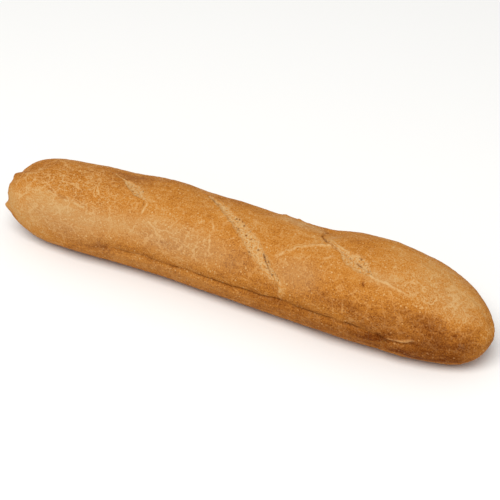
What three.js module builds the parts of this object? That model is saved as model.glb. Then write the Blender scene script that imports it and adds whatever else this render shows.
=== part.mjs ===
// Half baguette: a short crusty loaf, whole, with both ends closed, in one solid piece.
// Millimetres, +Z up. The loaf lies along X, its blunt tail towards -X and its rounder head
// towards +X. It rests on its flat base at Z = 0, and its three slashes face the front, -Y.
// Angles go round the section in degrees: 0 is the back, 90 the crown, 180 the front, and both
// -90 and 270 the middle of the base.

import * as THREE from 'three';
import { mergeVertices } from 'three/addons/utils/BufferGeometryUtils.js';

// ---- Driving dimensions ----

const LENGTH = 270;
const HEIGHT_PER_HALF_WIDTH = 1.61;
const BELLY_SHARE = 0.42; // the loaf is widest at this share of its height
const CROWN_SQUARENESS = 2.15; // 2 is an ellipse, and more is squarer
const UNDERSIDE_SQUARENESS = 2.6;
const BASE_SINK = 1; // the round underside is pressed flat by this much

// Half width and sideways bow at places along the loaf.
const STATIONS = [
  { x: -135, halfWidth: 25, bow: -4 },
  { x: -115, halfWidth: 24, bow: -1 },
  { x: -90, halfWidth: 25, bow: -1 },
  { x: -60, halfWidth: 26, bow: 1 },
  { x: -30, halfWidth: 26, bow: 1 },
  { x: 0, halfWidth: 26, bow: 0.5 },
  { x: 30, halfWidth: 26, bow: -0.5 },
  { x: 60, halfWidth: 28, bow: 0 },
  { x: 90, halfWidth: 27, bow: 0 },
  { x: 115, halfWidth: 25.5, bow: 0 },
  { x: 135, halfWidth: 25, bow: -3.5 },
];

// How each end closes, in plan, along the crown and along the base: over what reach, how long
// it stays full before it turns in, and how square its nose is. The tip is at this height.
const TAIL = {
  tip: 22.5,
  plan: { reach: 40, fullness: 3.1, squareness: 2.6 },
  crown: { reach: 27.5, fullness: 1.8, squareness: 2.4 },
  base: { reach: 30, fullness: 2, squareness: 2 },
};
const HEAD = {
  tip: 17.5,
  plan: { reach: 43, fullness: 2.3, squareness: 1.8 },
  crown: { reach: 47.5, fullness: 1.55, squareness: 1.85 },
  base: { reach: 23.5, fullness: 2, squareness: 2 },
};

// The fold low along each side, where the upper bulge sits on the lower one.
const CREASES = [
  { angle: 178, from: -118, to: 88, depth: 2.4 },
  { angle: 3, from: -100, to: 104, depth: 2 },
];
const CREASE_HALF_WIDTH = 6.5;
const CREASE_FADE = 22;

// The slashes, each along three points of [x, angle], opened like a lens by the oven.
const SLASHES = [
  { points: [[-79, 74], [-66, 93], [-53, 112]], width: 9, depth: 1.8 },
  { points: [[-25, 73], [5, 117], [31, 155]], width: 11, depth: 2.6 },
  { points: [[40, 85], [62, 110], [95, 128]], width: 10, depth: 2.2 },
];
const UNROLLED_RADIUS = 24; // turns an angle round the section into millimetres of crust

// Two small spurs of dough on the tail's end face, by their place on it.
const SPURS = [
  { y: -8, z: 33, height: 3.2 },
  { y: -19, z: 21, height: 3.4 },
];
const SPUR_RADIUS = 4;
const TAIL_FACE_DEPTH = 14; // the spurs grow out of this much of the tail

// The grid: rings along the loaf, and sides round it.
const RINGS = 92;
const SIDES = 48;
const OUTLINE_SAMPLES = 2000;

const CRUST_COLOUR = 0xcc8a45;

// ---- The loaf without its slashes and folds ----

// A smooth curve through the stations, with slopes taken from each station's neighbours.
function along(key, x) {
  const last = STATIONS.length - 1;
  let i = 0;
  while (i < last - 1 && x > STATIONS[i + 1].x) i++;
  const slope = (k) => {
    const before = STATIONS[Math.max(k - 1, 0)];
    const after = STATIONS[Math.min(k + 1, last)];
    return (after[key] - before[key]) / (after.x - before.x);
  };
  const a = STATIONS[i];
  const b = STATIONS[i + 1];
  const span = b.x - a.x;
  const t = (x - a.x) / span;
  return a[key] * (1 + 2 * t) * (1 - t) ** 2
    + span * slope(i) * t * (1 - t) ** 2
    + b[key] * t * t * (3 - 2 * t)
    + span * slope(i + 1) * t * t * (t - 1);
}

// 0 at the tip and 1 from the reach inwards.
function closing(distance, { reach, fullness, squareness }) {
  const t = THREE.MathUtils.clamp(1 - distance / reach, 0, 1);
  return (1 - t ** fullness) ** (1 / squareness);
}

function bothEnds(x, line) {
  return closing(x + LENGTH / 2, TAIL[line]) * closing(LENGTH / 2 - x, HEAD[line]);
}

function halfWidthAt(x) {
  return along('halfWidth', x) * bothEnds(x, 'plan');
}

// The section at x: its half width, its widest level, and how far it goes above and below that.
function sectionAt(x) {
  const tip = THREE.MathUtils.lerp(TAIL.tip, HEAD.tip, x / LENGTH + 0.5);
  const height = along('halfWidth', x) * HEIGHT_PER_HALF_WIDTH;
  const crown = tip + (height - tip) * bothEnds(x, 'crown');
  const closed = bothEnds(x, 'base');
  const floor = tip * (1 - closed) - BASE_SINK * closed;
  const belly = floor + (crown - floor) * BELLY_SHARE;
  return { halfWidth: halfWidthAt(x), belly, above: crown - belly, below: belly - floor };
}

function sectionPoint(x, angle) {
  const section = sectionAt(x);
  const cos = Math.cos(angle);
  const sin = Math.sin(angle);
  const power = sin >= 0 ? CROWN_SQUARENESS : UNDERSIDE_SQUARENESS;
  const radius = (Math.abs(cos) ** power + Math.abs(sin) ** power) ** (-1 / power);
  const rise = sin >= 0 ? section.above : section.below;
  const y = section.halfWidth * radius * cos;
  const z = rise * radius * sin;
  return { y: along('bow', x) + y, z: section.belly + z, outward: new THREE.Vector2(y, z) };
}

// ---- What is folded into it and cut into it ----

// A groove with a sharp bottom and soft shoulders, 1 at its line and 0 from its half width on.
function groove(distance, halfWidth) {
  return Math.max(1 - Math.abs(distance) / halfWidth, 0) ** 2;
}

function arc(fromDegrees, toDegrees) {
  return THREE.MathUtils.degToRad(toDegrees - fromDegrees) * UNROLLED_RADIUS;
}

function creaseDepth(x, degrees) {
  let depth = 0;
  for (const crease of CREASES) {
    const begins = THREE.MathUtils.smoothstep(x, crease.from, crease.from + CREASE_FADE);
    const ends = 1 - THREE.MathUtils.smoothstep(x, crease.to - CREASE_FADE / 2, crease.to);
    depth += crease.depth * begins * ends * groove(arc(crease.angle, degrees), CREASE_HALF_WIDTH);
  }
  return depth;
}

// How far a point of the crust is from a slash, across it, and where along it, from 0 to 1.
function acrossSlash(points, x, degrees) {
  let nearest = { distance: Infinity, share: 0 };
  for (let i = 0; i < points.length - 1; i++) {
    const start = new THREE.Vector2(points[i][0] - x, arc(degrees, points[i][1]));
    const end = new THREE.Vector2(points[i + 1][0] - x, arc(degrees, points[i + 1][1]));
    const run = end.clone().sub(start);
    const t = THREE.MathUtils.clamp(-start.dot(run) / run.lengthSq(), 0, 1);
    const distance = start.addScaledVector(run, t).length();
    if (distance < nearest.distance) {
      nearest = { distance, share: (i + t) / (points.length - 1) };
    }
  }
  return nearest;
}

function slashDepth(x, degrees) {
  let depth = 0;
  for (const slash of SLASHES) {
    const { distance, share } = acrossSlash(slash.points, x, degrees);
    const lens = Math.sqrt(Math.max(4 * share * (1 - share), 0));
    if (lens > 0) depth += slash.depth * lens * groove(distance, slash.width / 2);
  }
  return depth;
}

function spurLength(x, y, z) {
  const near = THREE.MathUtils.clamp((TAIL_FACE_DEPTH - LENGTH / 2 - x) / TAIL_FACE_DEPTH, 0, 1);
  let length = 0;
  for (const spur of SPURS) {
    const away = Math.hypot(y - spur.y, z - spur.z) / SPUR_RADIUS;
    length += spur.height * near * Math.exp(-away * away);
  }
  return length;
}

function crustPoint(x, angle) {
  const { y, z, outward } = sectionPoint(x, angle);
  const degrees = THREE.MathUtils.euclideanModulo(THREE.MathUtils.radToDeg(angle) + 90, 360) - 90;
  const size = outward.length();
  const depth = Math.min(creaseDepth(x, degrees) + slashDepth(x, degrees), size / 2);
  if (size > 0) outward.divideScalar(size);
  const point = new THREE.Vector3(x, y - depth * outward.x, Math.max(z - depth * outward.y, 0));
  point.x -= spurLength(x, point.y, point.z);
  return point;
}

// ---- The solid ----

// Places along X that step evenly along the loaf's outline as seen from above.
function ringPlaces() {
  const xs = [];
  const travelled = [0];
  for (let i = 0; i <= OUTLINE_SAMPLES; i++) {
    xs.push(-LENGTH / 2 * Math.cos(Math.PI * i / OUTLINE_SAMPLES));
    if (i > 0) {
      const step = Math.hypot(xs[i] - xs[i - 1], halfWidthAt(xs[i]) - halfWidthAt(xs[i - 1]));
      travelled.push(travelled[i - 1] + step);
    }
  }
  const places = [];
  let i = 0;
  for (let ring = 0; ring <= RINGS; ring++) {
    const goal = travelled[OUTLINE_SAMPLES] * ring / RINGS;
    while (i < OUTLINE_SAMPLES && travelled[i] < goal) i++;
    places.push(xs[i]);
  }
  places[0] = -LENGTH / 2;
  places[RINGS] = LENGTH / 2;
  return places;
}

// A sphere's grid with its poles on X, pulled out into the loaf, then set on its base.
function loafGeometry() {
  const sphere = new THREE.SphereGeometry(1, SIDES, RINGS);
  sphere.deleteAttribute('normal');
  sphere.deleteAttribute('uv');
  sphere.rotateZ(-Math.PI / 2);
  const geometry = mergeVertices(sphere);
  const position = geometry.attributes.position;
  const places = ringPlaces();
  for (let i = 0; i < position.count; i++) {
    const polar = Math.acos(THREE.MathUtils.clamp(-position.getX(i), -1, 1));
    const x = places[Math.round(polar / Math.PI * RINGS)];
    const point = crustPoint(x, Math.atan2(position.getZ(i), position.getY(i)));
    position.setXYZ(i, point.x, point.y, point.z);
  }
  geometry.computeBoundingBox();
  const centre = geometry.boundingBox.getCenter(new THREE.Vector3());
  geometry.translate(-centre.x, -centre.y, -geometry.boundingBox.min.z);
  geometry.computeVertexNormals();
  return geometry;
}

const crust = new THREE.MeshStandardMaterial({
  color: CRUST_COLOUR,
  roughness: 0.7,
  metalness: 0,
});
const loaf = new THREE.Mesh(loafGeometry(), crust);
loaf.name = 'loaf';

const baguette = new THREE.Group();
baguette.add(loaf);

export default baguette;
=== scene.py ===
import math

import bmesh
import bpy
import numpy as np
from bpy.props import FloatProperty, FloatVectorProperty, IntProperty, PointerProperty
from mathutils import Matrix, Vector


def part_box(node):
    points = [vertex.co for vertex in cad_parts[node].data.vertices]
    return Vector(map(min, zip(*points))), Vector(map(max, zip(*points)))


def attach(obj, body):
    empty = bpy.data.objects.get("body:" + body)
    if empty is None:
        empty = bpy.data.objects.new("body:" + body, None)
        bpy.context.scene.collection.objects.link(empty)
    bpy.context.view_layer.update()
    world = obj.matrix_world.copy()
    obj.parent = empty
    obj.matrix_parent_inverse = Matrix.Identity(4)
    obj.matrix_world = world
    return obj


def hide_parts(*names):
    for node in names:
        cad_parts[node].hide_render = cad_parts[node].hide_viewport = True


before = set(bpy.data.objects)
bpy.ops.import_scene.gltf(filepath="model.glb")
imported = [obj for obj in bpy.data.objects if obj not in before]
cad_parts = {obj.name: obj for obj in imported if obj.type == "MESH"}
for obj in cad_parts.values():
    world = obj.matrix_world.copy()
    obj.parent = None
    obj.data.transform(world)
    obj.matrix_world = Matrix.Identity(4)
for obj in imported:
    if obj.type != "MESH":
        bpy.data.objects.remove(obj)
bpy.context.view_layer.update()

bl_info = {
    "name": "Half Baguette",
    "version": (1, 0, 0),
    "blender": (4, 5, 0),
    "location": "View3D > Sidebar > Bakery",
    "description": "A short crusty loaf with slashes, side folds and a wrinkled golden crust",
    "category": "Object",
}

MM = 0.001

# ---- The loaf's form, in millimetres ----
# It lies along X with its blunt tail towards -X, and its slashes face the front, -Y.
# Angles go round the section in degrees: 0 is the back, 90 the crown, 180 the front, and both
# -90 and 270 the middle of the base.

LOAF_LOW, LOAF_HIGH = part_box("loaf")  # the frame's, in metres
LENGTH = round((LOAF_HIGH - LOAF_LOW).x / MM, 1)
HEIGHT_PER_HALF_WIDTH = 1.61
BELLY_SHARE = 0.42
CROWN_SQUARENESS = 2.15
UNDERSIDE_SQUARENESS = 2.6
BASE_SINK = 1.0

# Place along the loaf, half width there, and sideways bow.
STATIONS = np.array([
    (-135, 25, -4), (-115, 24, -1), (-90, 25, -1), (-60, 26, 1), (-30, 26, 1), (0, 26, 0.5),
    (30, 26, -0.5), (60, 28, 0), (90, 27, 0), (115, 25.5, 0), (135, 25, -3.5),
], float)
HALF_WIDTH, BOW = 1, 2

# How each end closes in plan, along the crown and along the base: reach, fullness, squareness.
TAIL = {"tip": 22.5, "plan": (40, 3.1, 2.6), "crown": (27.5, 1.8, 2.4), "base": (30, 2, 2)}
HEAD = {"tip": 17.5, "plan": (43, 2.3, 1.8), "crown": (47.5, 1.55, 1.85), "base": (23.5, 2, 2)}

CROWN = 90
BASE_SEAM = -90
UNROLLED_RADIUS = 24.0  # the section's radius on which distances round the crust are counted

# ---- Features of the crust, placed as (x, angle) ----

# The fold low along each side, where the upper bulge rests on the lower one. The back's angles
# are counted as if it were the front.
FRONT_FOLD = ((-106, 196), (-95, 192), (-84, 188), (-74, 183), (-66, 179), (-50, 177.5), (-38, 177),
              (-24, 177.5), (-8, 177.5), (6, 178), (20, 176.5), (30, 174.5), (38, 173.5), (46, 175),
              (58, 177.5), (72, 178), (80, 179.5), (87, 183))
BACK_FOLD = ((-110, 182), (-78, 177), (-40, 179), (-12, 175), (24, 178), (62, 176), (88, 179),
             (104, 182))

# Slashes, opened like lenses: points, half width at each point, and depth.
SLASHES = (
    {"points": ((-79, 75), (-74, 81), (-70.5, 86), (-68, 89), (-63, 96.5), (-58.5, 103.5), (-54, 109)),
     "half_widths": (0.25, 0.3, 0.8, 2.0, 2.5, 2.3, 0.9), "depth": 0.8},
    {"points": ((-26, 69), (-19, 79), (-9, 93), (1, 107), (9, 119), (15, 129), (21, 139), (26, 148),
                (31, 152)),
     "half_widths": (0.7, 1.3, 2.1, 2.8, 3.3, 3.4, 2.9, 2.0, 0.7), "depth": 1.0},
    {"points": ((42, 84), (52, 99), (56.5, 104.5), (58.5, 106.5), (63, 110), (69, 114), (74, 119)),
     "half_widths": (0.3, 0.3, 0.6, 2.4, 3.4, 3.2, 0.9), "depth": 0.8},
)

# Cracks in the slashes and beside them: points, half width, depth, and how much painted shade darkens the
# crack's groove.
CRACKS = (
    {"points": ((-53.5, 111), (-52.5, 117), (-53, 124), (-53.5, 129)),
     "half_width": 0.35, "depth": 0.3, "painted_shade": 0.35},
    {"points": ((-26.5, 68), (-23, 74), (-17, 82)), "half_width": 0.45, "depth": 0.8, "painted_shade": 0.7},
    {"points": ((18, 128), (20, 133), (22, 138), (23.5, 143), (25, 148)),
     "half_width": 0.32, "depth": 0.7, "painted_shade": 0.6},
    {"points": ((41, 52), (40.3, 68), (40.4, 80), (44.6, 90.5), (51.5, 100.5), (57, 106)),
     "half_width": 0.5, "depth": 0.8, "painted_shade": 0.5},
    {"points": ((57, 105), (62.5, 109.5), (67.5, 113), (73, 117.5)),
     "half_width": 0.4, "depth": 0.5, "painted_shade": 0.5},
    {"points": ((-67, 174), (-69, 183)), "half_width": 1.2, "depth": 0.6, "painted_shade": 0.15},
    {"points": ((85, 181), (88, 190), (88, 201)), "half_width": 1.6, "depth": 1.6, "painted_shade": 0.3},
    {"points": ((89, 186), (97, 184), (103, 178)), "half_width": 0.9, "depth": 0.5, "painted_shade": 0.3},
    {"points": ((-107, 127), (-102, 127), (-98, 131), (-91, 130.5), (-83, 134)),
     "half_width": 0.6, "depth": 0.25, "painted_shade": 0.25},
)

# Raised seams, where two swellings of dough meet: points, half width and height.
WELTS = (
    {"points": ((30, 152), (32, 158), (32.5, 168)), "half_width": 1.3, "height": 0.8},
    {"points": ((25, 127), (28, 120), (33, 110), (38, 103), (44, 99), (51, 98)),
     "half_width": 0.7, "height": 0.35},
    {"points": ((90, 182), (97, 180), (102, 173)), "half_width": 0.7, "height": 0.5},
    {"points": ((47, 88), (53, 97), (59, 103)), "half_width": 0.5, "height": 0.3},
    {"points": ((49, 117), (53, 111)), "half_width": 0.5, "height": 0.2},
    {"points": ((83, 107), (83.5, 98)), "half_width": 0.5, "height": 0.2},
    {"points": ((74, 120), (76, 121.8), (83, 122.6), (88.5, 125), (97, 126)),
     "half_width": 0.5, "height": 0.3},
    {"points": ((-52, 111), (-51, 117), (-51.5, 124), (-52, 129)), "half_width": 0.45, "height": 0.2},
    {"points": ((-107, 129), (-102, 130), (-98, 134), (-91, 133.5), (-83, 137)),
     "half_width": 0.5, "height": 0.25},
    {"points": ((-18, 113), (-21, 120), (-22, 130), (-24, 137), (-24, 147), (-27, 155)),
     "half_width": 0.4, "height": 0.15},
    {"points": ((-14, 112), (-11, 121), (-12, 130), (-10, 139), (-11, 151), (-9, 160)),
     "half_width": 0.35, "height": 0.12},
    {"points": ((-47, 134), (-42, 138), (-40, 145), (-35, 148), (-33, 156)),
     "half_width": 0.4, "height": 0.15},
)

# Dents: x, angle, radius and depth. A negative depth is a swelling.
DENTS = (
    (-132, 140, 10, -1.0), (-127, 92, 8, 1.6), (-119, 78, 6, 0.4), (-98, 150, 14, -0.4),
    (-90, 57, 7, -0.6), (-70, 67, 8.5, 1.5), (-60, 82, 7, 0.7), (-44, 54, 11, -0.5),
    (-40, 205, 22, 0.45), (-36, 158, 9, -0.4), (-22, 66, 9, 1.0), (5, 63, 5, 0.8),
    (11, 143, 7, -0.5), (15, 54, 1.8, -0.6), (19, 54, 7, -0.7), (20, 55, 1.6, 0.4),
    (23, 54, 1.6, -0.7), (27, 159, 4, 1.6), (29, 57, 1.6, -0.4), (36, 205, 12, 0.3),
    (40.5, 60, 1.8, 0.8), (44, 64, 7, 1.8), (46, 78, 6, 0.9), (48, 150, 12, -0.5),
    (55, 88, 8, -0.5), (56, 66, 7, 0.8), (71, 132.5, 1.1, 0.9), (73.5, 130, 0.8, 0.5),
    (77, 52, 9, -0.7), (95, 172, 6, 1.0), (104, 152, 3.5, 0.5), (106, 57, 12, 0.35),
    (108, 122, 3, 0.3), (108, 205, 20, 0.6), (112, 160, 6, -0.4), (121.8, 144.6, 1.5, 0.7),
    (133, 75, 6, 0.6),
)

# Where the crust is paler (negative) or browner than its surroundings: x, angle, reach along,
# reach round in degrees, and how much. Most of it is the oven's bake; some is painted shade, in
# the small pits and dents, beside the front fold, on the lower front band and the head's low side.
BAKE_AND_SHADE_PATCHES = (
    # from the tail to the head, over the crown and the front
    (-131, 106, 6, 12, 0.20), (-131, 162, 6, 22, -0.20), (-122, 132, 7, 10, 0.08),
    (-122, 78, 9, 14, 0.12), (-118, 178, 17, 26, -0.36), (-114, 208, 16, 8, -0.20),
    (-110, 109, 9, 7, 0.09), (-106, 139, 17, 12, -0.28), (-100, 100, 22, 14, 0.05),
    (-98, 84, 22, 14, 0.10), (-96, 190, 12, 14, -0.12), (-92, 119, 22, 7, 0.06),
    (-82, 150, 26, 14, -0.20), (-80, 195, 12, 10, 0.12), (-80, 62, 14, 8, 0.08),
    (-76, 184, 12, 7, 0.12), (-72, 185, 8, 6, 0.14), (-72, 80, 18, 20, 0.10),
    (-66, 74, 15, 11, 0.14), (-66, 94, 12, 12, 0.10), (-60, 144, 12, 12, -0.10),
    (-60, 112, 7, 5, 0.10), (-50, 110, 8, 10, -0.06), (-50, 66, 50, 11, 0.12),
    (-45, 192, 38, 14, -0.08), (-38, 126, 14, 12, -0.16), (-38, 148, 10, 9, 0.07),
    (-36, 151, 11, 8, 0.18), (-28, 152, 14, 9, 0.08), (-20, 82, 8, 10, -0.10),
    (-14, 98, 12, 6, -0.10), (-10, 149, 8, 12, 0.08), (2, 94, 12, 6, -0.08), (8, 159, 12, 9, 0.12),
    (10, 140, 9, 14, 0.14), (10, 155, 7, 20, 0.06), (12, 208, 30, 6, 0.08), (24, 182, 10, 7, 0.12),
    (25.5, 161, 4.5, 7, 0.18), (31.5, 160, 2.2, 10, -0.25), (32, 128, 8, 8, -0.08),
    (40, 168, 22, 8, 0.08), (40, 192, 32, 16, 0.18), (42, 151, 11, 14, 0.10),
    (46, 86, 8, 15, -0.22), (50, 102, 5, 5, -0.22), (60, 150, 18, 13, 0.18), (60, 158, 10, 8, 0.08),
    (64, 84, 10, 12, 0.10), (66, 206, 16, 8, 0.12), (68, 188, 12, 16, 0.02), (70, 126, 5, 8, -0.14),
    # (71.4, 133) and (74, 130) here, and (121.8, 144.6) below, are painted shade in the pits dented at
    # the same places.
    (71.4, 133, 1.4, 2.6, 0.5), (74, 160, 24, 11, 0.20), (74, 130, 1.2, 2, 0.3),
    (78, 186, 10, 9, 0.20), (81, 116, 8, 6, -0.30), (86, 184, 8, 10, 0.24), (90, 204, 14, 9, 0.18),
    (90, 114, 6, 6, 0.10), (93, 84, 14, 22, -0.22), (99, 148, 12, 12, 0.08),
    (101, 144, 18, 11, 0.20), (106, 178, 24, 24, 0.22), (107, 169, 14, 11, 0.06),
    (108, 208, 26, 9, 0.22), (112, 196, 18, 12, 0.13), (114, 112, 12, 18, -0.14),
    (115, 151, 10, 8, 0.14), (116, 80, 15, 20, -0.22), (118, 140, 11, 9, 0.10),
    (120, 160, 11, 12, 0.18), (121, 136, 9, 9, 0.12), (121.8, 144.6, 1.5, 3.5, 0.22),
    (129, 165, 7, 36, 0.14),
    # over the back
    (-118, -4, 14, 22, 0.10), (-92, 22, 30, 24, -0.26), (-58, -12, 26, 14, 0.12),
    (-34, 14, 30, 18, -0.24), (24, 26, 30, 18, -0.20), (48, -10, 30, 13, 0.14),
    (74, 10, 30, 22, -0.26), (112, 2, 16, 26, 0.26),
)

# Where the crust is dull and dusty rather than glossy, in the same terms.
DUSTY = (
    (-93, 155, 28, 24, 1.0), (-66, 72, 12, 10, 0.1), (-30, 145, 40, 19, 1.0), (38, 140, 14, 18, 0.8),
    (28, 67, 14, 9, 0.9), (-40, 192, 50, 12, 0.3), (80, 120, 12, 8, 0.6), (114, 112, 14, 20, 0.4),
    (-86, 20, 34, 24, 0.9), (-20, 12, 36, 20, 0.8), (66, 12, 36, 24, 0.9),
)

# Where the crust is flaky, with pale veins and wrinkles, in the same terms.
FLAKY = (
    (-98, 120, 34, 60, 0.7), (-30, 145, 24, 18, 0.75), (28, 68, 12, 8, 1.0), (105, 115, 22, 26, 0.6),
    (75, 165, 20, 10, 0.4), (100, 150, 14, 8, 0.2), (50, 120, 14, 12, 0.3),
    (-98, 18, 32, 34, 0.8), (-16, 12, 30, 18, 0.8), (84, 14, 30, 26, 0.7),
)

# Two spurs on the tail's end face: y, z, height and radius.
SPURS = ((-8, 33, 4.6, 2.8), (-19, 18.5, 4.3, 2.1))
TAIL_FACE_DEPTH = 14.0  # only the crust within this depth of the tip is drawn out into them

# ---- How the features rise and fall, in millimetres where nothing else is said ----

# The fold as it runs along the loaf.
FOLD_COMES_IN = 25  # it has come in this far from its first point
FOLD_SHARPENS = (32, 50)  # and turns sharp between these
FOLD_SHUTS = (-4, 2)  # it shuts between these, counted from its last point
FAINTEST_STRETCH = 0.45  # how strong the sharp line is where it is faintest
STRETCH_LEVELS = (-0.25, 0.3)  # it goes from faint to clear between these levels of noise

# The fold's section: a sharp valley in a wide hollow, and the crust round them.
VALLEY_ABOVE, VALLEY_BELOW = 1.0, 1.3  # the valley's reach on each side
HOLLOW_REACH = 4.5
VALLEY_SHARE, HOLLOW_SHARE = 0.6, 0.14  # of the fold's depth
FOLD_STEP = 0.5  # the crust bulges this far above the line, and is set back as far below it
BULGE_ABOVE, BULGE_REACH = 6, 4.5
SET_BACK_FROM, SET_BACK_TO = (4, 10), (30, 16)
LEAN, LEAN_ABOVE, LEAN_REACH = 0.9, 1.2, 1.3  # how far it hangs over the valley, and where

# Slashes.
FULL_HALF_WIDTH = 2.5  # a slash narrower than this is shallower too
RAGGED_EDGE, RAGGED_FLOOR = 0.22, 0.25  # share of its width and depth by which it is uneven
LIP_HEIGHT, LIP_OUTSIDE, LIP_REACH = 0.35, 0.5, 0.9  # the lip is raised just outside the edge
TORN_EDGE = (0.8, 1.15)  # the torn crumb ends between these, counted in half widths
TORN_RAGGED = 0.25  # the torn crumb is rough to this height

# Cracks and welts.
LINE_TIP, LINE_GROWTH = 0.25, 4  # strength squared at a tip, and its growth from point to point
LINE_WAVER = 0.3
CRACK_SHADE_LEVELS = (-0.35, 0.25)  # the painted shade in a crack goes from none to full between these levels of noise

# Blisters.
BLISTER_SEED = 11
BLISTER_RADII, BLISTER_HEIGHTS = (0.6, 1.7), (0.3, 1)
BLISTER_END = 2.5  # where one has faded out, counted in its radius

# Wrinkles, which are drawn out along the loaf, and higher towards its ends.
WRINKLE_STRETCH = (0.45, 1, 1)
WRINKLE_MIDDLE = -10
WRINKLES_GROW, WRINKLES_MORE = (30, 100), 0.6  # between these distances from the middle, by this
RIDGE_SHARPNESS = 4

# Noise fields: size of the bumps, seed, and how many octaves where it isn't three.
RAGGEDNESS = (2.2, 3)
SWELLINGS = (38, 21, 2)
BUMPS, BUMP_SHARE = (11, 29), 0.35
FOLD_WANDERS, WANDER_DEGREES = (14, 37), 1.6
FOLD_WAVERS, WAVER_DEGREES = (5, 39), 1.2
FOLD_STRETCHES = (7, 61)
CRACK_SHADE_STRETCHES = (3.5, 67)
WRINKLES = (2.6, 41)
MOTTLING, MOTTLE_TONE = (15, 51), 0.06
RAGGED_ALONG, RAGGED_ALONG_BY = (8, 71), 2.5
RAGGED_ROUND, RAGGED_ROUND_DEGREES = (8, 75), 5

# How far the crown is baked, from 0, pale, to 1, dark, how much further the front and the back
# are, and over which angles. The front's darkening is partly its bake and partly painted shade
# where the upper bulge turns under towards the fold. The underside starts at its own angles, one
# pair for each side.
CROWN_BAKE = 0.46
FRONT_BAKE_AND_SHADE, FRONT_ANGLES = 0.14, (150, 178)
BACK_BAKE, BACK_ANGLES = 0.2, (30, -10)
UNDER_FRONT, UNDER_BACK = (208, 226), (-28, -46)
PATCH_EDGE = 1.5  # a patch with a higher number is flatter inside and ends more abruptly

# ---- The crust's patterns ----

# Scales are counted per metre. Drawn-out patterns are longer along the loaf.
DRAWN_OUT = (0.36, 1.0, 1.0)
PATCH_NOISE = {"scale": 110.0, "roughness": 0.6}
BLOTCH_NOISE = {"scale": 360.0, "roughness": 0.6}
GRAIN_NOISE = {"scale": 1500.0, "detail": 1.0, "roughness": 0.8}
WEAR_NOISE = {"scale": 420.0}
CRUMB_NOISE = {"scale": 1000.0, "roughness": 0.9}
WIDE_VEINS = {"Scale": 130.0, "Width": 0.06, "Broken": 0.43}
CLOSE_VEINS = {"Scale": 260.0, "Width": 0.1, "Broken": 0.49}
FINE_WRINKLES = {"Scale": 680.0, "Sharpness": 26.0, "Broken": 0.4}
LARGE_SPECKS = {"Scale": 430.0, "Radius": 0.28, "Share": 0.27}
SMALL_SPECKS = {"Scale": 850.0, "Radius": 0.4, "Share": 0.34}
PORES = {"Scale": 540.0, "Radius": 0.42, "Share": 0.14}
FINE_PORES = {"Scale": 900.0, "Radius": 0.46, "Share": 0.24}

# How strongly each pale mark shows, and how far each pattern changes the bake and the height.
MARKS = {"wide_veins": 0.95, "close_veins": 0.4, "wrinkles": 1.6, "large_specks": 1.0,
         "small_specks": 0.65, "worn_welts": 1.15}
TONES = {"patches": 0.28, "blotches": 0.4, "grain": 1.25, "pale": -0.38}
HEIGHTS = {"pale": 0.4, "grain": 1.2, "blotches": 1.2, "pores": -1.5}
BUMP = {"Strength": 0.6, "Distance": 0.3 * MM}

BAKE_STOPS = (0.0, 0.45, 0.75, 1.0)  # where the crust is pale, golden, brown and dark
CRUST_ROUGHNESS, TORN_ROUGHER = (0.52, 0.68), 0.3
CRUST_SPECULAR = 0.03

# ---- The mesh ----

RINGS = 330
SIDES = 208
OUTLINE_SAMPLES = 4000
FINE_REACH = 3.2  # the mesh is halved this close to a slash or crack, and once more closer by
FINEST_REACH = 1.0
PLAIN_DENSITY, MORE_DENSITY = 0.75, 0.6  # sides are closer together over the crown and the front
DENSE_FROM, DENSE_TO = (20, 70), (190, 215)
SEAM_DIGITS = 4  # rings are matched across the base's seam to so many digits
MASKS = ("torn", "crack_shade", "crease_shade", "welted", "flaky", "dusty", "bake_and_shade", "under")
MOST_TRIANGLES = 200000

# ---- The photograph's view and light, in metres and degrees ----

CAMERA_AZIMUTH = 26.5
CAMERA_ELEVATION = 38.0
CAMERA_DISTANCE = 0.8
CAMERA_TARGET = Vector((0.0027, 0.0, 0.0222))
CAMERA_LENS = 112.9  # like the sensor, in millimetres
CAMERA_CLIP = (0.01, 20)
SENSOR_WIDTH = 36.0
KEY_LIGHT = {"location": (0.05, -0.65, 1.24), "target": (0, 0, 0.02), "size": 1.0,
             "colour": (1, 0.985, 0.96)}
FLOOR_SIDE = 6.0


def srgb(code):
    """A hex colour as linear red, green and blue."""
    parts = [int(code[i:i + 2], 16) / 255 for i in (1, 3, 5)]
    return tuple(p / 12.92 if p <= 0.04045 else ((p + 0.055) / 1.055) ** 2.4 for p in parts)


# ---- What a user may change ----


class LoafSizes(bpy.types.PropertyGroup):
    """How deep and how rough the crust is"""

    fold_depth: FloatProperty(
        name="Fold Depth", description="Depth of the fold low along each side",
        default=3.0 * MM, min=0.0, max=5 * MM, unit="LENGTH")
    swell: FloatProperty(
        name="Unevenness", description="Height of the loaf's broad bumps and hollows",
        default=0.45 * MM, min=0.0, max=3 * MM, unit="LENGTH")
    wrinkle_height: FloatProperty(
        name="Wrinkle Height", description="Height of the wrinkles in the crust",
        default=0.14 * MM, min=0.0, max=1 * MM, unit="LENGTH")
    blister_height: FloatProperty(
        name="Blister Height", description="Height of the small blisters",
        default=0.25 * MM, min=0.0, max=1 * MM, unit="LENGTH")
    blisters: IntProperty(
        name="Blisters", description="How many small blisters the crust has", default=420, min=0)


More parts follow.
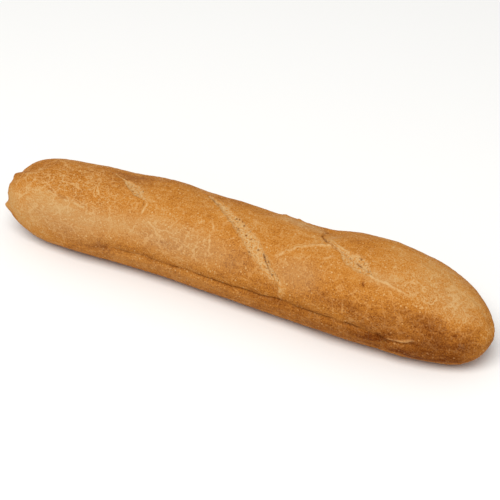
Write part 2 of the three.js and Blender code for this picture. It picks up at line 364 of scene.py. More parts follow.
class CrustColours(bpy.types.PropertyGroup):
    """Colours of the crust, from the palest bake to the darkest, and of the torn crumb"""

    pale: FloatVectorProperty(
        name="Pale Crust", description="Where the oven reached least", subtype="COLOR",
        default=srgb("#C09258"), min=0, max=1)
    golden: FloatVectorProperty(
        name="Golden Crust", description="The crown", subtype="COLOR",
        default=srgb("#B5742B"), min=0, max=1)
    brown: FloatVectorProperty(
        name="Brown Crust", description="The lower sides", subtype="COLOR",
        default=srgb("#975B21"), min=0, max=1)
    # The dark colour is also used for the painted shade in the cracks, the folds and the crumb's pores.
    dark: FloatVectorProperty(
        name="Dark Crust", description="The most baked places", subtype="COLOR",
        default=srgb("#612B03"), min=0, max=1)
    crumb: FloatVectorProperty(
        name="Torn Crumb", description="Inside the slashes", subtype="COLOR",
        default=srgb("#C29D6A"), min=0, max=1)
    dust: FloatVectorProperty(
        name="Dusty Crust", description="The dull bloom on the sides", subtype="COLOR",
        default=srgb("#B08B60"), min=0, max=1)
    flake: FloatVectorProperty(
        name="Pale Specks", description="Specks and veins in the crust", subtype="COLOR",
        default=srgb("#D9B988"), min=0, max=1)


class StageSettings(bpy.types.PropertyGroup):
    """The floor and the lights"""

    floor: FloatVectorProperty(
        name="Floor", description="Colour of the floor", subtype="COLOR",
        default=(0.86, 0.86, 0.85), min=0, max=1)
    key: FloatProperty(
        name="Key Light", description="Power of the large soft light", default=16.0, min=0, unit="POWER")
    fill: FloatProperty(
        name="Room Light", description="Strength of the light from all round", default=0.62, min=0)


# ---- Form ----


def smoothstep(low, high, value):
    t = np.clip((value - low) / (high - low), 0, 1)
    return t * t * (3 - 2 * t)


def along(column, x):
    """A smooth curve through the stations, with slopes taken from each station's neighbours."""
    places, values = STATIONS[:, 0], STATIONS[:, column]
    last = len(places) - 1
    before = np.maximum(np.arange(last + 1) - 1, 0)
    after = np.minimum(np.arange(last + 1) + 1, last)
    slopes = (values[after] - values[before]) / (places[after] - places[before])
    i = np.clip(np.searchsorted(places, x) - 1, 0, last - 1)
    span = places[i + 1] - places[i]
    t = (x - places[i]) / span
    return (values[i] * (1 + 2 * t) * (1 - t) ** 2 + span * slopes[i] * t * (1 - t) ** 2
            + values[i + 1] * t * t * (3 - 2 * t) + span * slopes[i + 1] * t * t * (t - 1))


def bell(value, middle, width):
    """1 at the middle, falling smoothly to nothing on both sides."""
    return np.exp(-((value - middle) / width) ** 2)


def closing(distance, reach, fullness, squareness):
    """0 at the tip and 1 from the reach inwards."""
    t = np.clip(1 - distance / reach, 0, 1)
    return (1 - t ** fullness) ** (1 / squareness)


def both_ends(x, line):
    return closing(x + LENGTH / 2, *TAIL[line]) * closing(LENGTH / 2 - x, *HEAD[line])


def half_width_at(x):
    return along(HALF_WIDTH, x) * both_ends(x, "plan")


def smooth_loaf(x, angle):
    """Points of the loaf's smooth skin, as an array of x, y and z."""
    tip = TAIL["tip"] + (HEAD["tip"] - TAIL["tip"]) * (x / LENGTH + 0.5)
    height = along(HALF_WIDTH, x) * HEIGHT_PER_HALF_WIDTH
    crown = tip + (height - tip) * both_ends(x, "crown")
    closed = both_ends(x, "base")
    floor = tip * (1 - closed) - BASE_SINK * closed
    belly = floor + (crown - floor) * BELLY_SHARE
    cos, sin = np.cos(np.radians(angle)), np.sin(np.radians(angle))
    power = np.where(sin >= 0, CROWN_SQUARENESS, UNDERSIDE_SQUARENESS)
    radius = (np.abs(cos) ** power + np.abs(sin) ** power) ** (-1 / power)
    y = along(BOW, x) + half_width_at(x) * radius * cos
    z = belly + np.where(sin >= 0, crown - belly, belly - floor) * radius * sin
    return np.stack([x, y, z], -1)


def skin_normals(x, angle):
    """Outward normals of the smooth skin, from small steps on it. The tips point along X."""
    step, turn, no_size = 0.05, 0.2, 1e-9
    run = smooth_loaf(np.minimum(x + step, LENGTH / 2), angle)
    run -= smooth_loaf(np.maximum(x - step, -LENGTH / 2), angle)
    round_it = smooth_loaf(x, angle + turn) - smooth_loaf(x, angle - turn)
    normal = np.cross(round_it, run)
    size = np.linalg.norm(normal, axis=1)
    at_tip = size < no_size
    normal[at_tip] = np.stack([np.sign(x[at_tip]), 0 * x[at_tip], 0 * x[at_tip]], -1)
    return normal / np.where(at_tip, 1, size)[:, None]


# ---- Noise and distances ----


def value_noise(points, size, seed):
    """Smooth noise from -1 to 1 whose bumps are about that size, in millimetres."""
    cells = 64
    lattice = np.random.RandomState(seed).uniform(-1, 1, (cells, cells, cells))
    p = points / size
    corner = np.floor(p).astype(int)
    t = p - corner
    t = t * t * t * (t * (t * 6 - 15) + 10)
    total = 0
    for dx in (0, 1):
        for dy in (0, 1):
            for dz in (0, 1):
                i, j, k = ((corner + (dx, dy, dz)) % cells).T
                weight = 1
                for axis, far in enumerate((dx, dy, dz)):
                    weight = weight * (t[:, axis] if far else 1 - t[:, axis])
                total = total + weight * lattice[i, j, k]
    return total


def fractal_noise(points, size, seed, octaves=3):
    total = 0
    for octave in range(octaves):
        total = total + value_noise(points, size / 2 ** octave, seed + octave) / 2 ** octave
    return total


def ridges(points, size, seed):
    """Thin ridges from 0 to 1 that wander between the noise's hills and hollows."""
    return (1 - np.abs(value_noise(points, size, seed))) ** RIDGE_SHARPNESS


def unrolled(x, angle):
    """The crust laid flat: millimetres along, and millimetres round from the crown."""
    return np.stack([x, np.radians(angle - CROWN) * UNROLLED_RADIUS], -1)


def measure_line(points, x, angle):
    """For each place: its distance across the line, positive on the side of larger angles, and
    where it is along it, counted in points."""
    flat = unrolled(x, angle)
    corners = unrolled(*np.array(points, float).T)
    nearest = np.full(len(x), np.inf)
    across, share = np.zeros(len(x)), np.zeros(len(x))
    for i, (start, end) in enumerate(zip(corners[:-1], corners[1:])):
        run = end - start
        t = np.clip((flat - start) @ run / (run @ run), 0, 1)
        away = flat - start - t[:, None] * run
        distance = np.linalg.norm(away, axis=1)
        side = np.sign(run[0] * away[:, 1] - run[1] * away[:, 0])
        better = distance < nearest
        nearest[better] = distance[better]
        across[better] = (distance * np.where(side == 0, 1, side))[better]
        share[better] = (i + t)[better]
    return across, share


# ---- Relief: how far each place of the crust lies below the smooth skin, in millimetres ----


def fold_relief(points, x, angle, depth):
    """A valley under the upper bulge, sharp in short stretches: its depth, how far the bulge
    leans over it, and a mask of its inside, where shade is painted."""
    across, _ = measure_line(points, x, angle)
    first, last = points[0][0], points[-1][0]
    start, full = FOLD_SHARPENS
    before_end = 1 - smoothstep(last + FOLD_SHUTS[0], last + FOLD_SHUTS[1], x)
    soft = smoothstep(first, first + FOLD_COMES_IN, x) * before_end
    stretches = value_noise(np.stack([x, 0 * x, 0 * x], -1), *FOLD_STRETCHES)
    clear = FAINTEST_STRETCH + (1 - FAINTEST_STRETCH) * smoothstep(*STRETCH_LEVELS, stretches)
    sharp = smoothstep(first + start, first + full, x) * before_end * clear
    valley = np.exp(-np.abs(across) / np.where(across > 0, VALLEY_BELOW, VALLEY_ABOVE)) * sharp
    hollow = bell(across, 0, HOLLOW_REACH) * soft
    bulge = bell(across, -BULGE_ABOVE, BULGE_REACH)
    set_back = smoothstep(*SET_BACK_FROM, across) * smoothstep(*SET_BACK_TO, across)
    lean = LEAN * bell(across, -LEAN_ABOVE, LEAN_REACH)
    relief = depth * (VALLEY_SHARE * valley + HOLLOW_SHARE * hollow)
    return relief - FOLD_STEP * (bulge - set_back) * soft, sharp * lean, valley


def slash_relief(slash, x, angle, rough):
    """A slash opened like a lens: a torn floor between raised lips. Returns depth and torn mask."""
    across, share = measure_line(slash["points"], x, angle)
    half = np.interp(share, range(len(slash["half_widths"])), slash["half_widths"])
    half = half * (1 + RAGGED_EDGE * rough)
    edge = np.abs(across) / half
    uneven = 1 - RAGGED_FLOOR + RAGGED_FLOOR * rough
    floor = np.sqrt(np.clip(1 - edge ** 2, 0, 1)) * slash["depth"] * uneven
    strength = np.clip(half / FULL_HALF_WIDTH, 0, 1)
    lip = bell(np.abs(across) - half, LIP_OUTSIDE, LIP_REACH) * LIP_HEIGHT * strength
    torn = 1 - smoothstep(*TORN_EDGE, edge)
    return floor * strength - lip, torn


def line_relief(line, x, angle, rough):
    """1 along a crack or a welt, which wavers and fades at its ends and sides."""
    across, share = measure_line(line["points"], x, angle)
    from_tip = np.minimum(share, len(line["points"]) - 1 - share)
    fade = np.sqrt(np.clip(from_tip * LINE_GROWTH + LINE_TIP, 0, 1))
    waver = LINE_WAVER * rough
    return fade * (1 + waver) * bell(across, -waver, line["half_width"])


def blobs(places, x, angle):
    """The sum of soft round patches, each given as x, angle, reach along, reach round and size."""
    total = 0
    for blob_x, blob_angle, reach_x, reach_angle, size in places:
        away = ((x - blob_x) / reach_x) ** 2 + ((angle - blob_angle) / reach_angle) ** 2
        total = total + size * np.exp(-away ** PATCH_EDGE)
    return total


def dent_relief(x, angle):
    depth = 0
    for dent_x, dent_angle, radius, dent_depth in DENTS:
        away = np.linalg.norm(unrolled(x, angle) - unrolled(dent_x, dent_angle), axis=1)
        depth = depth + dent_depth * bell(away, 0, radius)
    return depth


def blister_relief(points, sizes):
    """Low round blisters scattered over the skin, each a few tenths of a millimetre high."""
    rng = np.random.RandomState(BLISTER_SEED)
    heights = np.zeros(len(points))
    centres = np.stack([rng.uniform(-LENGTH / 2, LENGTH / 2, sizes.blisters),
                        rng.uniform(BASE_SEAM, BASE_SEAM + 360, sizes.blisters)], -1)
    centres = smooth_loaf(*centres.T)
    for centre in centres:
        radius = rng.uniform(*BLISTER_RADII)
        near = np.abs(points[:, 0] - centre[0]) < radius * BLISTER_END
        away = np.linalg.norm(points[near] - centre, axis=1)
        blister = rng.uniform(*BLISTER_HEIGHTS) * bell(away, 0, radius)
        heights[near] = np.maximum(heights[near], blister)
    return heights * sizes.blister_height / MM


def spur_reach(points):
    """How far each place of the tail's end face is drawn out into a spur."""
    near = np.clip((TAIL_FACE_DEPTH - LENGTH / 2 - points[:, 0]) / TAIL_FACE_DEPTH, 0, 1)
    reach = 0
    for y, z, height, radius in SPURS:
        away = np.hypot(points[:, 1] - y, points[:, 2] - z)
        reach = reach + height * near * bell(away, 0, radius)
    return reach


def folds_relief(skin, x, angle, depth):
    """Both folds: their depth, how far the crust leans over them, and a mask of their inside, where shade
    is painted.
    """
    wander = WANDER_DEGREES * value_noise(skin, *FOLD_WANDERS)
    wander = wander + WAVER_DEGREES * value_noise(skin, *FOLD_WAVERS)
    relief, lean, crease_shade = 0, 0, 0
    for fold, seen_from in ((FRONT_FOLD, angle), (BACK_FOLD, 180 - angle)):
        valley, over, inside = fold_relief(fold, x, seen_from + wander, depth)
        relief = relief + valley
        lean = lean + over
        crease_shade = crease_shade + inside
    return relief, lean, crease_shade


def slashes_relief(x, angle, rough):
    """All the slashes: their depth and a mask of the torn crumb."""
    relief, torn = 0, 0
    for slash in SLASHES:
        floor, opened = slash_relief(slash, x, angle, rough)
        relief = relief + floor
        torn = np.maximum(torn, opened)
    return relief, torn


def seams_relief(skin, x, angle, rough):
    """All the cracks and welts: their depth, a mask of the painted shade in the cracks, and a mask of the
    welts.
    """
    relief, crack_shade, welted = 0, 0, 0
    shade_shown = smoothstep(*CRACK_SHADE_LEVELS, value_noise(skin, *CRACK_SHADE_STRETCHES))
    for crack in CRACKS:
        groove = line_relief(crack, x, angle, rough)
        relief = relief + groove * crack["depth"]
        crack_shade = np.maximum(crack_shade, groove * shade_shown * crack["painted_shade"])
    for welt in WELTS:
        seam = line_relief(welt, x, angle, rough)
        relief = relief - seam * welt["height"]
        welted = np.maximum(welted, seam)
    return relief, crack_shade, welted


def shape_crust(x, angle, sizes):
    """Rolls the flat crust into the loaf. Returns its points in millimetres and its masks."""
    skin = smooth_loaf(x, angle)
    rough = fractal_noise(skin, *RAGGEDNESS)
    folds, lean, crease_shade = folds_relief(skin, x, angle, sizes.fold_depth / MM)
    slashes, torn = slashes_relief(x, angle, rough)
    seams, crack_shade, welted = seams_relief(skin, x, angle, rough)
    unevenness = fractal_noise(skin, *SWELLINGS) + BUMP_SHARE * value_noise(skin, *BUMPS)
    at_ends = 1 + WRINKLES_MORE * smoothstep(*WRINKLES_GROW, np.abs(x - WRINKLE_MIDDLE))
    wrinkles = at_ends * ridges(skin * WRINKLE_STRETCH, *WRINKLES)
    depth = sizes.swell / MM * unevenness + folds + slashes + seams + dent_relief(x, angle)
    depth = depth - sizes.wrinkle_height / MM * wrinkles
    depth = depth - torn * TORN_RAGGED * rough
    depth = depth - blister_relief(skin, sizes) * (1 - torn)
    points = skin - skin_normals(x, angle) * depth[:, None]
    points[:, 2] -= lean
    points[:, 0] -= spur_reach(skin)
    points[:, 2] = np.maximum(points[:, 2], 0)
    return points, {"torn": torn, "crack_shade": crack_shade, "crease_shade": crease_shade, "welted": welted,
                    "flaky": np.clip(blobs(FLAKY, x, angle), 0, 1),
                    "dusty": np.clip(blobs(DUSTY, x, angle), 0, 1)}


def bake_and_shade_tone(points, x, angle):
    """How far each place is baked, from 0, pale, to 1, dark, with painted shade on the lower front,
    in pits and dents and on the head's low side, and how far it is underneath.
    """
    tone = CROWN_BAKE + FRONT_BAKE_AND_SHADE * smoothstep(*FRONT_ANGLES, angle)
    tone = tone + BACK_BAKE * smoothstep(*BACK_ANGLES, angle)
    ragged_x = x + RAGGED_ALONG_BY * fractal_noise(points, *RAGGED_ALONG)
    ragged_angle = angle + RAGGED_ROUND_DEGREES * fractal_noise(points, *RAGGED_ROUND)
    tone = tone + blobs(BAKE_AND_SHADE_PATCHES, ragged_x, ragged_angle)
    tone = tone + MOTTLE_TONE * fractal_noise(points, *MOTTLING)
    under = smoothstep(*UNDER_FRONT, angle) + smoothstep(*UNDER_BACK, angle)
    return np.clip(tone, 0, 1), np.clip(under, 0, 1)


# ---- Mesh ----


def ring_places():
    """Places along X that step evenly along the loaf's outline as seen from above."""
    x = -LENGTH / 2 * np.cos(np.linspace(0, np.pi, OUTLINE_SAMPLES))
    travelled = np.concatenate([[0], np.cumsum(np.hypot(np.diff(x), np.diff(half_width_at(x))))])
    return np.interp(np.linspace(0, travelled[-1], RINGS + 1), travelled, x)


def side_angles():
    """Angles round the section, closer together over the crown and the front than on the base."""
    angle = np.linspace(BASE_SEAM, BASE_SEAM + 360, OUTLINE_SAMPLES)
    more = smoothstep(*DENSE_FROM, angle) * (1 - smoothstep(*DENSE_TO, angle))
    density = PLAIN_DENSITY + MORE_DENSITY * more
    filled = np.concatenate([[0], np.cumsum((density[1:] + density[:-1]) / 2)])
    return np.interp(np.linspace(0, filled[-1], SIDES + 1), filled, angle)


def near_features(x, angle, reach):
    """Which places are that close to a slash or a crack."""
    near = np.zeros(len(x), bool)
    for feature in SLASHES + CRACKS:
        near |= np.abs(measure_line(feature["points"], x, angle)[0]) < reach
    return near


def flat_crust():
    """The crust drawn flat, x by angle, with a finer grid near the slashes, then closed into a
    tube with a tip at each end."""
    mesh = bmesh.new()
    uv = mesh.loops.layers.uv.new("OFBake")
    xs, angles = ring_places(), side_angles()
    rows = [[mesh.verts.new((x, angle, 0)) for angle in angles] for x in xs]
    for i in range(RINGS):
        for j in range(SIDES):
            mesh.faces.new((rows[i][j], rows[i][j + 1], rows[i + 1][j + 1], rows[i + 1][j]))
    for reach in (FINE_REACH, FINEST_REACH):
        faces = list(mesh.faces)
        middles = np.array([f.calc_center_median()[:2] for f in faces])
        chosen = near_features(middles[:, 0], middles[:, 1], reach)
        mesh.edges.index_update()
        edges = {e for f, c in zip(faces, chosen) if c for e in f.edges}
        bmesh.ops.subdivide_edges(mesh, edges=sorted(edges, key=lambda e: e.index), cuts=1,
                                  use_grid_fill=True)
    rows_along = np.linspace(0, 1, RINGS + 1)
    for face in mesh.faces:
        for loop in face.loops:
            x, angle, _ = loop.vert.co
            loop[uv].uv = (np.interp(x, xs, rows_along), (angle - BASE_SEAM) / 360)
    first_row = [v for v in mesh.verts if v.co.x <= xs[0]]
    last_row = [v for v in mesh.verts if v.co.x >= xs[-1]]
    joined = {v: first_row[0] for v in first_row[1:]}
    joined.update({v: last_row[0] for v in last_row[1:]})
    seam = {round(v.co.x, SEAM_DIGITS): v for v in mesh.verts
            if v.co.y <= angles[0] and v not in joined}
    for v in mesh.verts:
        ring = round(v.co.x, SEAM_DIGITS)
        if v.co.y >= angles[-1] and v not in joined and ring in seam:
            joined[v] = seam[ring]
    for tip in (first_row[0], last_row[0]):
        joined.pop(tip, None)
    bmesh.ops.weld_verts(mesh, targetmap=joined)
    return mesh


def make_mesh(name, sizes):
    """The crust as mesh data in metres, centred where the frame has the loaf, with its masks."""
    flat = flat_crust()
    data = bpy.data.meshes.new(name)
    flat.to_mesh(data)
    flat.free()
    places = np.zeros(len(data.vertices) * 3)
    data.vertices.foreach_get("co", places)
    x, angle, _ = places.reshape(-1, 3).T
    points, masks = shape_crust(x, angle, sizes)
    masks["bake_and_shade"], masks["under"] = bake_and_shade_tone(points, x, angle)
    smooth = smooth_loaf(x, angle)
    centre = (smooth.min(0) + smooth.max(0)) / 2
    points[:, :2] -= centre[:2]
    points[:, :2] += np.array((LOAF_LOW + LOAF_HIGH) / 2 / MM)[:2]
    data.vertices.foreach_set("co", (points * MM).ravel())
    for mask in MASKS:
        attribute = data.attributes.new(mask, "FLOAT", "POINT")
        attribute.data.foreach_set("value", masks[mask].astype(np.float32))
    data.polygons.foreach_set("use_smooth", [True] * len(data.polygons))
    data.update()
    triangles = sum(len(p.vertices) - 2 for p in data.polygons)
    if triangles > MOST_TRIANGLES:
        raise RuntimeError(f"the crust has {triangles} triangles, and may have {MOST_TRIANGLES}")
    return data


# ---- Materials ----


class Wiring:
    """Adds nodes to a tree. Each method returns a socket to feed the next."""

    def __init__(self, tree):
        self.tree = tree

    def feed(self, node, inputs):
        for socket, value in dict(inputs).items():
            if isinstance(value, bpy.types.NodeSocket):
                self.tree.links.new(value, node.inputs[socket])
            else:
                node.inputs[socket].default_value = value
        return node

    def add(self, kind, inputs=(), **settings):
        node = self.tree.nodes.new(kind)
        for name, value in settings.items():
            setattr(node, name, value)
        return self.feed(node, inputs)

    def math(self, operation, a, b=0.0, clamp=False):
        return self.add("ShaderNodeMath", {0: a, 1: b}, operation=operation, use_clamp=clamp).outputs[0]

    def total(self, *values):
        result = values[0]
        for value in values[1:]:
            result = self.math("ADD", result, value)
        return result

    def scaled(self, value, factor, middle=0.0):
        """How far a value is from its middle, times a factor."""
        if middle:
            value = self.math("SUBTRACT", value, middle)
        return self.math("MULTIPLY", value, factor)

    def ramp(self, value, low, high, start=0.0, end=1.0):
        """Goes smoothly from start to end while the value goes from low to high."""
        inputs = {"Value": value, "From Min": low, "From Max": high, "To Min": start, "To Max": end}
        return self.add("ShaderNodeMapRange", inputs, interpolation_type="SMOOTHSTEP").outputs[0]

    def mix(self, factor, a, b):
        node = self.add("ShaderNodeMix", {"Factor": factor}, data_type="RGBA")
        colours = {6: a, 7: b}
        for socket, value in colours.items():
            if not isinstance(value, bpy.types.NodeSocket):
                colours[socket] = (*value, 1)
        return self.feed(node, colours).outputs[2]

    def noise(self, vector, scale, detail=2.0, roughness=0.5):
        inputs = {"Vector": vector, "Scale": scale, "Detail": detail, "Roughness": roughness}
        return self.add("ShaderNodeTexNoise", inputs).outputs["Fac"]

    def vector_math(self, operation, a, b):
        return self.add("ShaderNodeVectorMath", {0: a, 1: b}, operation=operation).outputs[0]

    def bend(self, vector, scale, amount):
        """The vector pushed about by noise, so that what follows loses its straight lines."""
        push = self.add("ShaderNodeTexNoise", {"Vector": vector, "Scale": scale, "Detail": 2.0})
        centred = self.vector_math("SUBTRACT", push.outputs["Color"], (0.5, 0.5, 0.5))
        return self.vector_math("ADD", vector, self.vector_math("MULTIPLY", centred, (amount,) * 3))

    def attribute(self, name):
        return self.add("ShaderNodeAttribute", attribute_name=name).outputs["Fac"]

    def group(self, tree, **inputs):
        return self.feed(self.add("ShaderNodeGroup", node_tree=tree), inputs).outputs["Mask"]

    def surface(self, inputs):
        """The material's one shader and its output."""
        shader = self.add("ShaderNodeBsdfPrincipled", inputs)
        self.add("ShaderNodeOutputMaterial", {"Surface": shader.outputs[0]})


def new_material(name):
    """A material with an empty tree, and the wiring that fills it."""
    material = bpy.data.materials.new(name)
    material.use_nodes = True
    material.node_tree.nodes.clear()
    return material, Wiring(material.node_tree)


def new_group(name, **inputs):
    """A node group with a vector input, float inputs by name and default, and one mask output."""
    group = bpy.data.node_groups.new(name, "ShaderNodeTree")
    group.interface.new_socket("Vector", in_out="INPUT", socket_type="NodeSocketVector")
    for label, default in inputs.items():
        socket = group.interface.new_socket(label, in_out="INPUT", socket_type="NodeSocketFloat")
        socket.default_value = default
    group.interface.new_socket("Mask", in_out="OUTPUT", socket_type="NodeSocketFloat")
    wiring = Wiring(group)
    return group, wiring, wiring.add("NodeGroupInput").outputs, wiring.add("NodeGroupOutput")


def vein_group():
    """Fine broken lines round cells, like the skin of a crust that dried and stretched."""
    group, w, given, out = new_group("crust_veins", Scale=100.0, Width=0.04, Broken=0.5)
    bent = w.bend(given["Vector"], scale=260.0, amount=5 * MM)
    cells = w.add("ShaderNodeTexVoronoi", {"Vector": bent, "Scale": given["Scale"]},
                  feature="DISTANCE_TO_EDGE")
    line = w.math("DIVIDE", cells.outputs["Distance"], given["Width"])
    line = w.ramp(line, 0.2, 1.0, 1.0, 0.0)
    gaps = w.noise(given["Vector"], scale=240.0)
    kept = w.ramp(w.math("SUBTRACT", gaps, given["Broken"]), -0.03, 0.12)
    w.feed(out, {"Mask": w.math("MULTIPLY", line, kept)})
    return group


def speck_group():
    """Small round specks, each in a cell of its own, with most cells left empty."""
    group, w, given, out = new_group("crust_specks", Scale=400.0, Radius=0.3, Share=0.3)
    cells = w.add("ShaderNodeTexVoronoi", {"Vector": given["Vector"], "Scale": given["Scale"]})
    dot = w.ramp(w.math("DIVIDE", cells.outputs["Distance"], given["Radius"]), 0.4, 1.0, 1.0, 0.0)
    chance = w.add("ShaderNodeSeparateColor", {"Color": cells.outputs["Color"]}).outputs[0]
    present = w.math("LESS_THAN", chance, given["Share"])
    w.feed(out, {"Mask": w.math("MULTIPLY", dot, present)})
    return group


def strand_group():
    """Short thin wrinkles that follow the noise's middle level."""
    group, w, given, out = new_group("crust_strands", Scale=300.0, Sharpness=6.0, Broken=0.5)
    waves = w.noise(given["Vector"], given["Scale"], roughness=0.55)
    from_middle = w.math("ABSOLUTE", w.math("SUBTRACT", waves, 0.5))
    line = w.math("SUBTRACT", 1.0, w.math("MULTIPLY", from_middle, given["Sharpness"]), clamp=True)
    gaps = w.noise(given["Vector"], scale=330.0, detail=1.0)
    kept = w.ramp(w.math("SUBTRACT", gaps, given["Broken"]), -0.05, 0.1)
    w.feed(out, {"Mask": w.math("MULTIPLY", line, kept)})
    return group


def pale_marks(w, place, drawn_out, mask, specks):
    """How strongly the veins, wrinkles, specks and worn welts show, less where it is dark."""
    veins = vein_group()
    more_where_flaky = w.ramp(mask["flaky"], 0.0, 0.8, 0.35, 1.0)
    wide_veins = w.group(veins, Vector=place, **WIDE_VEINS)
    close_veins = w.group(veins, Vector=place, **CLOSE_VEINS)
    wrinkles = w.group(strand_group(), Vector=drawn_out, **FINE_WRINKLES)
    worn = w.ramp(w.noise(place, **WEAR_NOISE), 0.37, 0.55)
    marks = {
        "wide_veins": w.math("MULTIPLY", wide_veins, more_where_flaky),
        "close_veins": w.math("MULTIPLY", close_veins, more_where_flaky),
        "wrinkles": w.math("MULTIPLY", wrinkles, mask["flaky"]),
        "large_specks": w.group(specks, Vector=place, **LARGE_SPECKS),
        "small_specks": w.group(specks, Vector=place, **SMALL_SPECKS),
        "worn_welts": w.math("MULTIPLY", mask["welted"], worn),
    }
    pale = 0.0
    for name, mark in marks.items():
        pale = w.math("MAXIMUM", pale, w.scaled(mark, MARKS[name]))
    return w.math("MULTIPLY", pale, w.ramp(mask["bake_and_shade"], 0.65, 0.95, 1.0, 0.55))


def crust_colour(w, colours, mask, pale, uneven):
    """From pale to dark by how far the crust is baked, with the painted shade in that tone, then dust and
    the pale marks over it.
    """
    less_when_dark = w.ramp(mask["bake_and_shade"], 0.55, 0.9, 1.0, 0.45)
    tone = w.math("ADD", mask["bake_and_shade"], w.math("MULTIPLY", uneven, less_when_dark))
    ramp = w.add("ShaderNodeValToRGB", {"Fac": tone})
    stops = ramp.color_ramp.elements
    while len(stops) < len(BAKE_STOPS):
        stops.new(0.5)
    bakes = (colours.pale, colours.golden, colours.brown, colours.dark)
    for stop, position, colour in zip(stops, BAKE_STOPS, bakes):
        stop.position = position
        stop.color = (*colour, 1)
    dusted = w.mix(w.scaled(mask["dusty"], 0.4), ramp.outputs["Color"], colours.dust)
    return w.mix(w.scaled(pale, 0.28), dusted, colours.flake)


def crumb_colour(w, colours, place, pores):
    """Torn crumb, mottled from golden to nearly white, with painted shade in its pores."""
    tone = w.noise(place, **CRUMB_NOISE)
    crumb = w.mix(w.ramp(tone, 0.32, 0.62), colours.golden, colours.crumb)
    crumb = w.mix(w.ramp(tone, 0.56, 0.72, 0.0, 0.35), crumb, colours.flake)
    # Painted shade: the crumb's pores are darkened towards the dark crust colour.
    return w.mix(w.scaled(pores, 0.65), crumb, colours.dark)


def crust_material(colours):
    """The crust, baked from pale to dark, with painted shade in its folds, cracks, pits and pores, and
    torn crumb in its slashes.
    """
    material, w = new_material("baked_crust")
    mask = {name: w.attribute(name) for name in MASKS}
    place = w.add("ShaderNodeTexCoord").outputs["Object"]
    drawn_out = w.vector_math("MULTIPLY", place, DRAWN_OUT)
    specks = speck_group()
    patches = w.noise(place, **PATCH_NOISE)
    blotches = w.noise(drawn_out, **BLOTCH_NOISE)
    grain = w.noise(place, **GRAIN_NOISE)
    pale = pale_marks(w, place, drawn_out, mask, specks)
    fine_pores = w.group(specks, Vector=place, **FINE_PORES)
    pores = w.math("MAXIMUM", w.group(specks, Vector=place, **PORES), w.scaled(fine_pores, 0.6))

    less_where_flaky = w.ramp(mask["flaky"], 0.0, 0.8, 1.0, 0.4)
    mottling = w.math("MULTIPLY", w.scaled(blotches, TONES["blotches"], 0.5), less_where_flaky)
    uneven = w.total(w.scaled(patches, TONES["patches"], 0.5), mottling,
                     w.scaled(grain, TONES["grain"], 0.5), w.scaled(pale, TONES["pale"]))
    colour = crust_colour(w, colours, mask, pale, uneven)
    colour = w.mix(mask["torn"], colour, crumb_colour(w, colours, place, pores))
    # Painted shade: the cracks' grooves are darkened towards the dark crust colour.
    colour = w.mix(mask["crack_shade"], colour, colours.dark)
    # Painted shade: the inside of each fold is darkened towards the dark crust colour.
    colour = w.mix(w.scaled(mask["crease_shade"], 0.5), colour, colours.dark)
    colour = w.mix(w.scaled(mask["under"], 0.5), colour, colours.brown)

    torn_pores = w.math("MULTIPLY", pores, mask["torn"])
    height = w.total(w.scaled(pale, HEIGHTS["pale"]), w.scaled(grain, HEIGHTS["grain"]),
                     w.scaled(blotches, HEIGHTS["blotches"]), w.scaled(torn_pores, HEIGHTS["pores"]))
    bump = w.add("ShaderNodeBump", {"Height": height, **BUMP})
    roughness = w.total(w.ramp(patches, 0.3, 0.7, *CRUST_ROUGHNESS), w.scaled(mask["torn"], TORN_ROUGHER))
    w.surface({"Base Color": colour, "Roughness": roughness, "Normal": bump.outputs[0],
               "Specular IOR Level": CRUST_SPECULAR})
    return material


def floor_material(colour):
    """The floor's colour, with a faint cloud of grey in it."""
    material, w = new_material("pale_floor")
    grey = (0.8, 0.8, 0.8)
    cloud = w.noise(w.add("ShaderNodeTexCoord").outputs["Object"], scale=3.0)
    tint = w.mix(w.scaled(cloud, 0.06), tuple(colour), grey)
    w.surface({"Base Color": tint, "Roughness": 0.85})
    return material


# ---- Stage ----


def make_camera(scene):
    azimuth, elevation = math.radians(CAMERA_AZIMUTH), math.radians(CAMERA_ELEVATION)
    back = Vector((math.sin(azimuth) * math.cos(elevation), -math.cos(azimuth) * math.cos(elevation),
                   math.sin(elevation)))
    data = bpy.data.cameras.new("photo_camera")
    data.lens = CAMERA_LENS
    data.sensor_width = SENSOR_WIDTH
    data.clip_start, data.clip_end = CAMERA_CLIP
    camera = bpy.data.objects.new("photo_camera", data)
    camera.location = CAMERA_TARGET + back * CAMERA_DISTANCE
    camera.rotation_euler = (-back).to_track_quat("-Z", "Y").to_euler()
    scene.collection.objects.link(camera)
    scene.camera = camera


def make_area_light(scene, name, location, target, size, power, colour):
    data = bpy.data.lights.new(name, "AREA")
    data.shape = "DISK"
    data.size = size
    data.energy = power
    data.color = colour
    light = bpy.data.objects.new(name, data)
    light.location = location
    light.rotation_euler = (Vector(target) - Vector(location)).to_track_quat("-Z", "Y").to_euler()
    scene.collection.objects.link(light)


def make_floor(scene, colour):
    mesh = bpy.data.meshes.new("floor")
    half = FLOOR_SIDE / 2
    corners = [(-half, -half, 0), (half, -half, 0), (half, half, 0), (-half, half, 0)]
    mesh.from_pydata(corners, [], [(0, 1, 2, 3)])
    mesh.materials.append(floor_material(colour))
    floor = bpy.data.objects.new("floor", mesh)
    scene.collection.objects.link(floor)


# ---- Operators ----


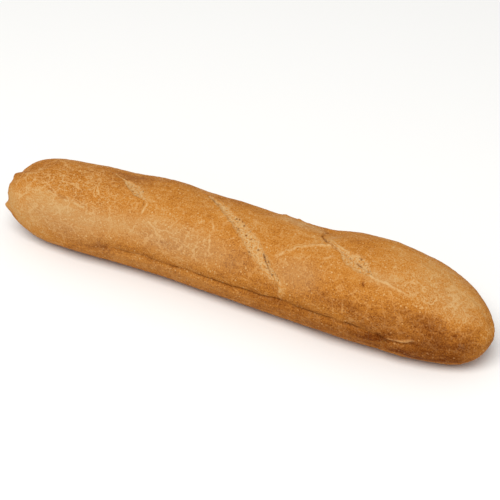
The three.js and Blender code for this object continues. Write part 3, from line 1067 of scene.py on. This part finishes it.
class BAKERY_OT_loaf(bpy.types.Operator):
    """Bakes the loaf: its form, folds, slashes and crust"""

    bl_idname = "bakery.loaf"
    bl_label = "Loaf"

    def execute(self, context):
        data = make_mesh("crusty_loaf", context.scene.bakery_sizes)
        data.materials.append(crust_material(context.scene.bakery_colours))
        loaf = bpy.data.objects.new("crusty_loaf", data)
        context.scene.collection.objects.link(loaf)
        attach(loaf, "root")
        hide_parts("loaf")
        return {"FINISHED"}


class BAKERY_OT_stage(bpy.types.Operator):
    """Sets the camera at the photograph's view, over a pale floor in soft light"""

    bl_idname = "bakery.stage"
    bl_label = "Stage"

    def execute(self, context):
        scene, settings = context.scene, context.scene.bakery_stage
        make_camera(scene)
        make_floor(scene, settings.floor)
        make_area_light(scene, "key", power=settings.key, **KEY_LIGHT)
        world = bpy.data.worlds.new("soft_room")
        world.use_nodes = True
        background = world.node_tree.nodes["Background"]
        background.inputs["Color"].default_value = (1, 1, 1, 1)
        background.inputs["Strength"].default_value = settings.fill
        scene.world = world
        scene.view_settings.view_transform = "Standard"
        return {"FINISHED"}


class BAKERY_PT_half_baguette(bpy.types.Panel):
    """The half baguette's parts, sizes and colours"""

    bl_label = "Half Baguette"
    bl_space_type = "VIEW_3D"
    bl_region_type = "UI"
    bl_category = "Bakery"

    def draw(self, context):
        layout = self.layout
        scene = context.scene
        for operator in OPERATORS:
            layout.operator(operator.bl_idname)
        for group in (scene.bakery_sizes, scene.bakery_colours, scene.bakery_stage):
            box = layout.box()
            for name in group.__annotations__:
                box.prop(group, name)


OPERATORS = (BAKERY_OT_loaf, BAKERY_OT_stage)
CLASSES = (LoafSizes, CrustColours, StageSettings, *OPERATORS, BAKERY_PT_half_baguette)


def register():
    for cls in CLASSES:
        bpy.utils.register_class(cls)
    bpy.types.Scene.bakery_sizes = PointerProperty(type=LoafSizes)
    bpy.types.Scene.bakery_colours = PointerProperty(type=CrustColours)
    bpy.types.Scene.bakery_stage = PointerProperty(type=StageSettings)


def unregister():
    del bpy.types.Scene.bakery_stage
    del bpy.types.Scene.bakery_colours
    del bpy.types.Scene.bakery_sizes
    for cls in reversed(CLASSES):
        bpy.utils.unregister_class(cls)


def main():
    register()
    bpy.ops.bakery.loaf()
    bpy.ops.bakery.stage()


if __name__ == "__main__":
    main()
